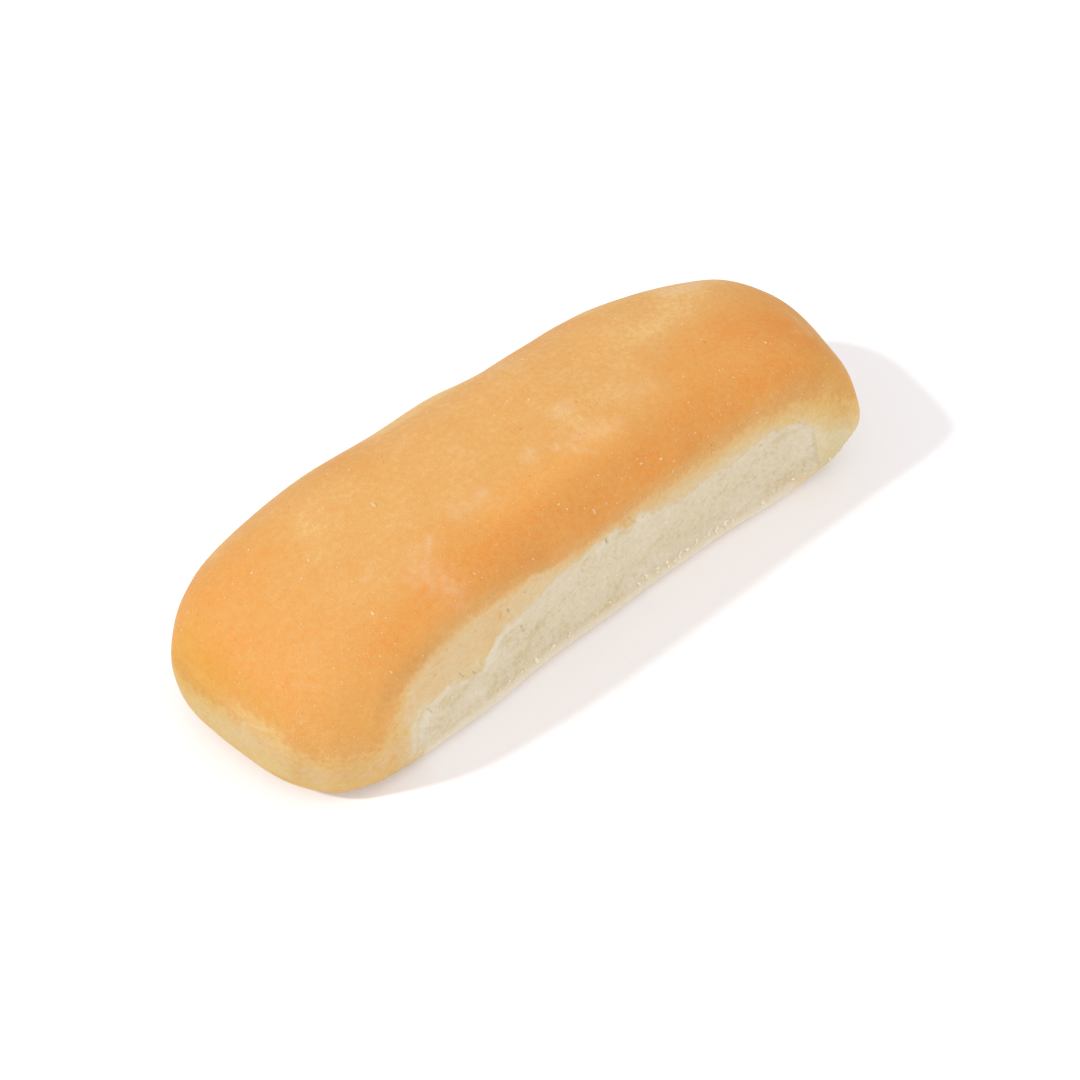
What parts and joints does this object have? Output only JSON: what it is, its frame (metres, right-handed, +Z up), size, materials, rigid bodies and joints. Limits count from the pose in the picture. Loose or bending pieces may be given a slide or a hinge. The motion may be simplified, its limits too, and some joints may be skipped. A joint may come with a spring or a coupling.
{
  "type": "soft bread roll, mini baguette",
  "caption": "Soft oblong white bread roll with a golden crust, a flat torn pale flank on each long side and a flat underside, for meals and sandwiches.",
  "frame": {"origin": "centre of the flat underside, at the middle of the roll's bounding box in plan", "axes": "+X along the roll towards its narrower far end, -Y towards the flank whose torn crumb shows, +Z up"},
  "size_m": [0.149, 0.0528, 0.0415],
  "materials": {
    "crust": "matte baked crust, golden on top, cream and dry where it was torn from its neighbours"
  },
  "bodies": {
    "root": {"roll": "crust"}
  },
  "joints": []
}
